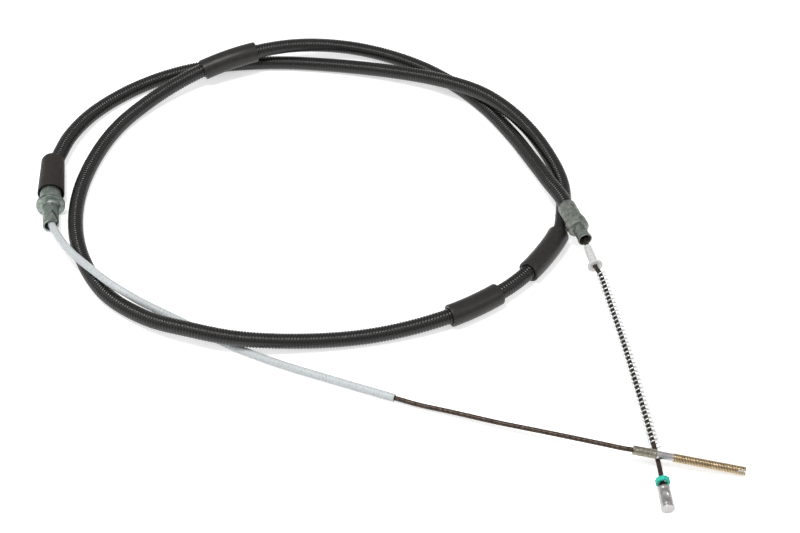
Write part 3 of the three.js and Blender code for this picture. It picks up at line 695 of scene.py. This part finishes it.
def make_conduit():
    ribs = round(conduit_line.length / RIB_PITCH)
    conduit = grooved(
        "ribbed_conduit", [tuple(q) for q in conduit_line.p], MATERIAL["sheath"], CONDUIT_OD / 2, 20,
        ribs * STATIONS_PER_RIB + 1, pitch=conduit_line.length / ribs, depth=RIB_DEPTH, narrowness=0.6,
    )
    return placed(conduit, STILL, "sheath", "outer_conduit", "conduit_winding")


def make_liner():
    wall = tube_wall(0, liner_line.length, LINER_BORE, LINER_OD)
    liner = turned("guide_liner", liner_line, wall, MATERIAL["liner"], sides=20, spacing=0.004)
    return placed(liner, STILL, "milky_plastic", "liner_tube")


def make_cables():
    core_points = liner_line.points(CORE_START, liner_line.length - CORE_END, CORE_STATIONS)
    core = grooved(
        "hidden_cable", core_points, MATERIAL["strand"], CABLE_D / 2, 14, CORE_STATIONS + 1, depth=0,
    )
    placed(core, STILL, "steel", "inner_cable_core")
    lever = placed(strand("cable_to_rod", lever_cable_line), LEVER, "steel", "inner_cable_lever_end")
    wheel = placed(strand("cable_to_nipple", wheel_cable_line), WHEEL, "steel", "inner_cable_wheel_end")
    return lever, wheel


# Sleeves, boot and ferrules

def make_sleeve(name):
    start, length = SLEEVE_STARTS[name], SLEEVE_LENGTHS[name]
    wall = tube_wall(start, start + length, SLEEVE_BORE, SLEEVE_OD)
    own_name = name.replace("protective", "rubber")
    sleeve = turned(own_name, conduit_line, wall, MATERIAL["sleeve"], 48, 0.0005, 0.002)
    return placed(sleeve, STILL, "sleeve_rubber", name)


def make_boot():
    rim = Vector(back(LEVER_TIP, LEVER_AXIS, BOOT_START)) + BOOT_OFFSET
    outer, top, wall = BOOT_RIM_OD / 2, BOOT_TOP_OD / 2, BOOT_WALL
    ceiling = BOOT_LENGTH - BOOT_TOP_WALL
    shoulder = [
        (
            BOOT_LENGTH - BOOT_SHOULDER + BOOT_SHOULDER * math.sin(a),
            top - BOOT_SHOULDER + BOOT_SHOULDER * math.cos(a),
        )
        for a in QUARTER_TURN
    ]
    outline = [
        (0, outer), *shoulder, (BOOT_LENGTH, 0), (ceiling, 0), (ceiling, top - wall), (0, outer - wall),
    ]
    line = straight(rim, BOOT_AXIS, BOOT_LENGTH)
    boot = turned("end_boot", line, outline, MATERIAL["boot"], 64, 0.0003, 0.002)
    hole_r = CONDUIT_OD / 2 + FIT_GAP
    hole_from, hole_to = BOOT_HOLE
    hole_outline = [(hole_from, 0), (hole_from, hole_r), (hole_to, hole_r), (hole_to, 0)]
    hole = turned("hole", conduit_line, hole_outline, MATERIAL["boot"], 48, 0, 0.002)
    return placed(carved(boot, hole), STILL, "boot_rubber", "lever_end_boot")


def make_lever_ferrule():
    flange = NOSE_LENGTH + FLANGE_THICKNESS
    nose, edge, collar = NOSE_OD / 2, FLANGE_OD / 2, COLLAR_OD / 2
    pocket, liner_hole = CONDUIT_OD / 2 + POCKET_PLAY, LINER_OD / 2 + FIT_GAP
    pocket_floor = LEVER_LENGTH - LEVER_POCKET
    groove = [NOSE_LENGTH + place for place in RIM_GROOVE]
    fillet = [
        (NOSE_LENGTH - NOSE_FILLET * (1 - math.sin(a)), nose + NOSE_FILLET * (1 - math.cos(a)))
        for a in QUARTER_TURN
    ]
    outline = [
        (0, nose), *fillet, (NOSE_LENGTH, edge),
        (groove[0], edge), (groove[0], edge - RIM_GROOVE_DEPTH),
        (groove[1], edge - RIM_GROOVE_DEPTH), (groove[1], edge),
        (flange, edge), (flange, collar), (LEVER_LENGTH, collar),
        (LEVER_LENGTH, pocket), (pocket_floor, pocket), (pocket_floor, liner_hole),
        (NOSE_BORE_DEPTH, liner_hole), (NOSE_BORE_DEPTH, NOSE_BORE / 2), (0, NOSE_BORE / 2),
    ]
    line = straight(LEVER_TIP, -LEVER_AXIS, LEVER_LENGTH)
    ferrule = turned("lever_ferrule", line, outline, MATERIAL["zinc"], 72, 0.00022, 0.003)
    slot = block(
        LEVER_TIP, -LEVER_AXIS, (NOSE_OD, NOSE_SLOT_WIDTH, NOSE_SLOT_LENGTH),
        Matrix.Rotation(NOSE_SLOT_TURN, 4, "Z")
        @ Matrix.Translation((nose + FIT_GAP, 0, NOSE_SLOT_LENGTH / 2))
        @ Matrix.Rotation(NOSE_SLOT_SLANT, 4, "X"),
        (0, 0, 0),
    )
    mouth = block(
        LEVER_TIP, -LEVER_AXIS, (2 * NOSE_OD, 2 * NOSE_OD, NOSE_OD),
        Matrix.Rotation(-MOUTH_SLANT, 4, "Y") @ Matrix.Translation((0, 0, -nose)),
        (0, 0, nose * math.tan(MOUTH_SLANT)),
    )
    return placed(carved(ferrule, slot, mouth), STILL, "zinc", "lever_end_ferrule")


def make_wheel_ferrule():
    shoulder_end = NECK_LENGTH + SHOULDER_LENGTH
    ridges_end = shoulder_end + RIDGES * RIDGE_PITCH
    neck, shoulder, body = NECK_OD / 2, SHOULDER_OD / 2, BODY_OD / 2
    pocket, liner_hole = CONDUIT_OD / 2 + POCKET_PLAY, LINER_OD / 2 + FIT_GAP
    pocket_floor = WHEEL_LENGTH - WHEEL_POCKET
    ridges = []
    for i in range(RIDGES):
        start = shoulder_end + RIDGE_PITCH * i
        crown = shoulder - (SHOULDER_OD - LAST_RIDGE_OD) / 2 * (i + 1) / RIDGES
        ridges += [
            (start + RIDGE_FLANK, crown - RIDGE_DEPTH), (start + 2 * RIDGE_FLANK, crown),
            (start + RIDGE_PITCH - RIDGE_FLANK, crown), (start + RIDGE_PITCH, crown - RIDGE_DEPTH),
        ]
    outline = [
        (0, MOUTH_OD / 2), (MOUTH_LIP, MOUTH_OD / 2), (MOUTH_LIP + (MOUTH_OD - NECK_OD) / 2, neck),
        (NECK_LENGTH, neck), (NECK_LENGTH, shoulder - SHOULDER_CHAMFER),
        (NECK_LENGTH + SHOULDER_CHAMFER, shoulder), (shoulder_end, shoulder), *ridges,
        (ridges_end, body), (WHEEL_LENGTH, body), (WHEEL_LENGTH, pocket), (pocket_floor, pocket),
        (pocket_floor, liner_hole), (MOUTH_BORE_DEPTH, liner_hole), (MOUTH_BORE_DEPTH, MOUTH_BORE / 2),
        (MOUTH_FLARE_DEPTH, MOUTH_BORE / 2), (0, MOUTH_FLARE_BORE / 2),
    ]

    def crimped(s, r, angle):
        """Two rings of shallow flats pressed into the rear body."""
        if r < CRIMP_SKIN or s < ridges_end:
            return r
        press = sum(math.exp(-(((s - ridges_end - at) / CRIMP_WIDTH) ** 2)) for at in CRIMP_PLACES)
        return r - CRIMP_DEPTH * press * (0.5 + 0.5 * math.cos(CRIMP_FLATS * angle))

    line = straight(WHEEL_MOUTH, -WHEEL_AXIS, WHEEL_LENGTH)
    ferrule = turned("wheel_ferrule", line, outline, MATERIAL["dull_zinc"], 96, 0.0002, 0.0006, crimped)
    return placed(ferrule, STILL, "dull_zinc", "wheel_end_ferrule")


# Pieces on the cable's wheel end

def make_bush():
    axis = (BUSH_END - BUSH_TIP).normalized()
    tube, flange, bore = BUSH_TUBE_OD / 2, BUSH_FLANGE_OD / 2, BUSH_BORE / 2
    face = BUSH_LENGTH - BUSH_FLANGE_THICKNESS
    outline = [
        (0, BUSH_TIP_OD / 2), (BUSH_TAPER, tube), (face - BUSH_FILLET, tube), (face, tube + BUSH_FILLET),
        (face, flange), (BUSH_LENGTH, flange), (BUSH_LENGTH, bore), (0, bore),
    ]
    line = straight(BUSH_TIP, axis, BUSH_LENGTH)
    bush = turned("guide_bush", line, outline, MATERIAL["bush"], 56, 0.0003, 0.002)
    return placed(bush, WHEEL, "milky_plastic", "spring_guide_bush")


def make_spring():
    middle = Line(smooth_points([Vector(q) + SPRING_SAG for q in SPRING_ROUTE]))
    steps_per_turn = 24
    steps = SPRING_TURNS * steps_per_turn
    radius = (SPRING_OD - SPRING_WIRE) / 2
    wire = []
    for i in range(steps + 1):
        centre, _, _, heading = middle.at(middle.length * i / steps)
        side = np.cross((0, 0, 1), heading)
        side /= np.linalg.norm(side)
        up = np.cross(heading, side)
        angle = 2 * math.pi * i / steps_per_turn
        wire.append(tuple(centre + radius * (math.cos(angle) * side + math.sin(angle) * up)))
    spring = grooved("coil_spring", wire, MATERIAL["spring"], SPRING_WIRE / 2, 10, steps + 1)
    return placed(spring, WHEEL, "bright_steel", "return_spring")


def make_ring():
    outline = tube_wall(-RING_LENGTH / 2, RING_LENGTH / 2, RING_BORE, RING_OD)

    def fluted(s, r, angle):
        return r - RING_FLUTE_DEPTH / 2 * (1 - math.cos(RING_FLUTES * angle)) * (r > RING_SKIN)

    line = straight(RING_CENTRE, NIPPLE_AXIS, RING_LENGTH)
    ring = turned("seat_ring", line, outline, MATERIAL["green"], 96, 0.0004, 0.0008, fluted)
    return placed(ring, WHEEL, "green_plastic", "spring_seat_ring")


def make_nipple():
    r, waist, neck, disc = NIPPLE_OD / 2, NIPPLE_WAIST_OD / 2, NIPPLE_NECK_OD / 2, NIPPLE_DISC_OD / 2
    waist_from, waist_to = NIPPLE_WAIST
    disc_from = NIPPLE_LENGTH - NIPPLE_DISC
    neck_from = disc_from - NIPPLE_NECK_LENGTH
    outline = [
        (0, r), (waist_from, r), (waist_from + WAIST_FLANK, waist),
        (waist_to - WAIST_FLANK, waist), (waist_to, r),
        (neck_from - NECK_FLANK, r), (neck_from, neck), (disc_from, neck), (disc_from, disc),
        (NIPPLE_LENGTH, disc), (NIPPLE_LENGTH, 0), (NIPPLE_SOCKET, 0),
        (NIPPLE_SOCKET, SOCKET_BORE / 2), (0, SOCKET_BORE / 2),
    ]
    line = straight(NIPPLE_FRONT, NIPPLE_AXIS, NIPPLE_LENGTH)
    nipple = turned("swaged_nipple", line, outline, MATERIAL["nipple"], 80, 0.00025, 0.0004)
    above = Vector((0, 0, r + DENT_RADIUS - DENT_DEPTH))
    press = Vector(tuple(line.at(DENT_PLACE)[0])) + above
    for vertex in nipple.data.vertices:
        away = vertex.co - press
        if away.length < DENT_RADIUS:
            vertex.co = press + away.normalized() * DENT_RADIUS
    return placed(nipple, WHEEL, "zinc", "cable_nipple")


# Threaded rod: crimp barrel, plain shank and slotted thread

def make_barrel():
    barrel, shank = BARREL_OD / 2, SHANK_OD / 2
    outline = [
        (0, barrel), (BARREL_LENGTH - ROD_CHAMFER, barrel), (BARREL_LENGTH, shank),
        (BARREL_LENGTH, 0), (BARREL_SOCKET, 0), (BARREL_SOCKET, SOCKET_BORE / 2), (0, SOCKET_BORE / 2),
    ]

    def swaged(s, r, angle):
        """Rows of small pressed marks round the crimp barrel."""
        if r < BARREL_SKIN or not MARKS_MARGIN < s < BARREL_LENGTH - MARKS_MARGIN:
            return r
        along = 0.5 - 0.5 * math.cos(2 * math.pi * s / MARK_PITCH)
        return r - MARK_DEPTH * along * (0.5 + 0.5 * math.cos(MARKS_ROUND * angle))

    line = straight(ROD_START, ROD_AXIS, BARREL_LENGTH)
    body = turned("rod_barrel", line, outline, MATERIAL["barrel"], 60, 0.0002, 0.0004, swaged)
    return placed(body, LEVER, "golden_zinc", "threaded_rod")


def make_shank():
    start, end, shank = BARREL_LENGTH - FIT_GAP, THREAD_START + SHANK_OVERLAP, SHANK_OD / 2
    outline = [(start, 0), (start, shank), (end, shank), (end, 0)]
    line = straight(ROD_START, ROD_AXIS, THREAD_START)
    body = turned("rod_shank", line, outline, MATERIAL["shank"], 60, 0.0001, 0.002)
    return placed(body, LEVER, "golden_zinc", "threaded_rod")


def make_thread():
    start = ROD_START + ROD_AXIS * THREAD_START
    line = straight(start, ROD_AXIS, THREAD_LENGTH)
    steps = round(THREAD_LENGTH / THREAD_PITCH) * STATIONS_PER_TURN
    thread = grooved(
        "rod_thread", line.points(0, THREAD_LENGTH, steps), MATERIAL["gold"], THREAD_OD / 2, 36, steps + 1,
        pitch=THREAD_PITCH, starts=1.0, depth=THREAD_DEPTH, narrowness=1.0,
    )
    slot = block(
        start, ROD_AXIS, (2 * THREAD_OD, ROD_SLOT_WIDTH, 2 * ROD_SLOT_DEPTH),
        Matrix.Rotation(ROD_SLOT_TURN, 4, "Z"), (0, 0, THREAD_LENGTH),
    )
    return placed(carved(thread, slot), LEVER, "golden_zinc", "threaded_rod")


# Floor, sky and lamps

def make_floor():
    mesh = bmesh.new()
    bmesh.ops.create_grid(mesh, size=3)
    data = bpy.data.meshes.new("floor")
    mesh.to_mesh(data)
    mesh.free()
    floor = add_object("floor", data)
    material = bpy.data.materials.new("pale_floor")
    material.use_nodes = True
    nodes, links = material.node_tree.nodes, material.node_tree.links
    nodes.remove(nodes["Principled BSDF"])
    matte = nodes.new("ShaderNodeBsdfDiffuse")
    matte.inputs["Color"].default_value = FLOOR_COLOUR
    glow = nodes.new("ShaderNodeEmission")
    rays = nodes.new("ShaderNodeLightPath")
    seen = nodes.new("ShaderNodeMath")
    seen.operation = "MAXIMUM"
    links.new(rays.outputs["Is Camera Ray"], seen.inputs[0])
    links.new(rays.outputs["Is Transmission Ray"], seen.inputs[1])
    also = nodes.new("ShaderNodeMath")
    also.operation = "MAXIMUM"
    links.new(seen.outputs[0], also.inputs[0])
    links.new(rays.outputs["Is Glossy Ray"], also.inputs[1])
    level = nodes.new("ShaderNodeMath")
    level.operation = "MULTIPLY"
    level.inputs[1].default_value = FLOOR_GLOW
    links.new(also.outputs[0], level.inputs[0])
    links.new(level.outputs[0], glow.inputs["Strength"])
    both = nodes.new("ShaderNodeAddShader")
    links.new(matte.outputs[0], both.inputs[0])
    links.new(glow.outputs[0], both.inputs[1])
    links.new(both.outputs[0], nodes["Material Output"].inputs["Surface"])
    data.materials.append(material)


def make_light():
    world = bpy.data.worlds.new("sky")
    bpy.context.scene.world = world
    world.use_nodes = True
    nodes, links = world.node_tree.nodes, world.node_tree.links
    sky = nodes["Background"]
    sky.inputs["Color"].default_value = (1, 1, 1, 1)
    rays = nodes.new("ShaderNodeLightPath")
    level = nodes.new("ShaderNodeMapRange")
    level.inputs["To Min"].default_value = SKY_LEVEL
    level.inputs["To Max"].default_value = 1
    links.new(rays.outputs["Is Camera Ray"], level.inputs["Value"])
    links.new(level.outputs[0], sky.inputs["Strength"])
    for name, place, size, power in LAMPS:
        data = bpy.data.lights.new(name, "AREA")
        data.size = size
        data.energy = power
        lamp = add_object(name, data)
        lamp.location = place
        lamp.rotation_euler = (Vector((0, 0, 0)) - Vector(place)).to_track_quat("-Z", "Y").to_euler()
    bpy.context.scene.view_settings.view_transform = "Standard"


make_camera()
MATERIAL = {
    "sheath": ribbed_sheath_finish(),
    "sleeve": sleeve_rubber_finish(),
    "boot": boot_rubber_finish(),
    "zinc": zinc_finish(),
    "nipple": nipple_finish(),
    "shank": shank_finish(),
    "dull_zinc": dull_zinc_finish(),
    "gold": golden_zinc_finish(),
    "barrel": barrel_finish(),
    "strand": strand_finish(),
    "spring": spring_finish(),
    "liner": milky_finish("milky_liner", 0.3, (0.78, 0.82, 0.83)),
    "bush": milky_finish("milky_bush", 0.35, (0.93, 0.94, 0.92)),
    "green": green_finish(),
}
sweep_tree = grooved_sweep_tree()
conduit = make_conduit()
liner = make_liner()
lever_cable, wheel_cable = make_cables()
sleeves = [make_sleeve(name) for name in SLEEVE_STARTS]
make_boot()
make_lever_ferrule()
wheel_ferrule = make_wheel_ferrule()
strung = [make_bush(), make_spring(), make_ring(), make_nipple()]
rod = [make_barrel(), make_shank(), make_thread()]

conduit_line.points(0, conduit_line.length, 400)
liner_line.points(liner_line.length, 0, 500)
lever_cable_line.points(0, lever_cable_line.length, 80)
wheel_cable_line.points(0, wheel_cable_line.length, 80)
make_floor()
make_light()
